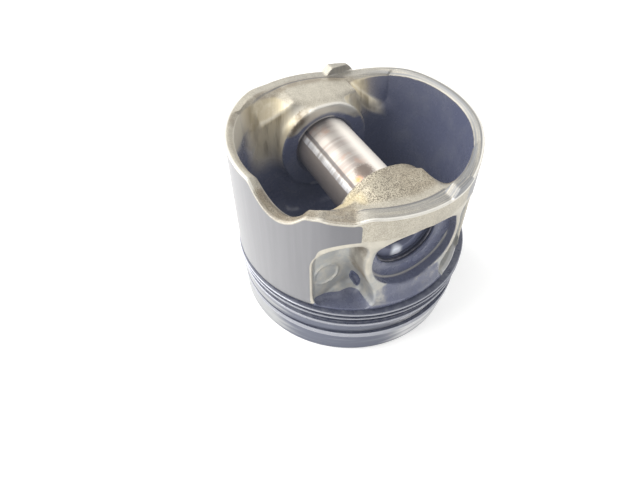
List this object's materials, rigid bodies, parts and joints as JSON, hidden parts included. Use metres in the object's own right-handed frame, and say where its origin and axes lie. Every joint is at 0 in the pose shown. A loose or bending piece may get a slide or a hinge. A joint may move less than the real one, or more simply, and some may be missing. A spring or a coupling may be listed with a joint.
{
  "type": "engine piston",
  "caption": "Ringed aluminium engine piston with a hollow gudgeon pin, circlips, bowl crown, relieved skirt sides and an oil-jet notch.",
  "frame": {"origin": "centre of the crown face", "axes": "+Z from the crown face to the open skirt end, +X along the gudgeon pin towards its front end, +Y in the thrust direction"},
  "size_m": [0.0822, 0.0822, 0.0665],
  "materials": {
    "cast_aluminium": "cast and turned, oil stained",
    "pin_steel": "ground and polished, heat tinted",
    "spring_steel": "dark, oiled",
    "ring_iron": "dark, oil wet"
  },
  "bodies": {
    "piston": {"piston_body": "cast_aluminium", "front_circlip": "spring_steel", "rear_circlip": "spring_steel"},
    "gudgeon_pin": {"gudgeon_pin": "pin_steel"},
    "top_ring": {"top_compression_ring": "ring_iron"},
    "second_ring": {"second_compression_ring": "ring_iron"},
    "oil_ring": {"oil_control_ring": "ring_iron", "oil_ring_coil_spring": "spring_steel", "oil_ring_joint_wire": "spring_steel"}
  },
  "joints": [
    {"name": "pin_turn", "type": "hinge", "parent": "piston", "child": "gudgeon_pin", "pos_m": [0, 0, 0.0465], "axis": [1, 0, 0], "continuous": true},
    {"name": "top_ring_turn", "type": "hinge", "parent": "piston", "child": "top_ring", "pos_m": [0.00038, 0.00059, 0.0098], "axis": [0, 0, 1], "continuous": true},
    {"name": "second_ring_turn", "type": "hinge", "parent": "piston", "child": "second_ring", "pos_m": [0.00043, 0.00067, 0.01655], "axis": [0, 0, 1], "continuous": true},
    {"name": "oil_ring_turn", "type": "hinge", "parent": "piston", "child": "oil_ring", "pos_m": [0.00041, 0.00065, 0.0218], "axis": [0, 0, 1], "continuous": true}
  ]
}
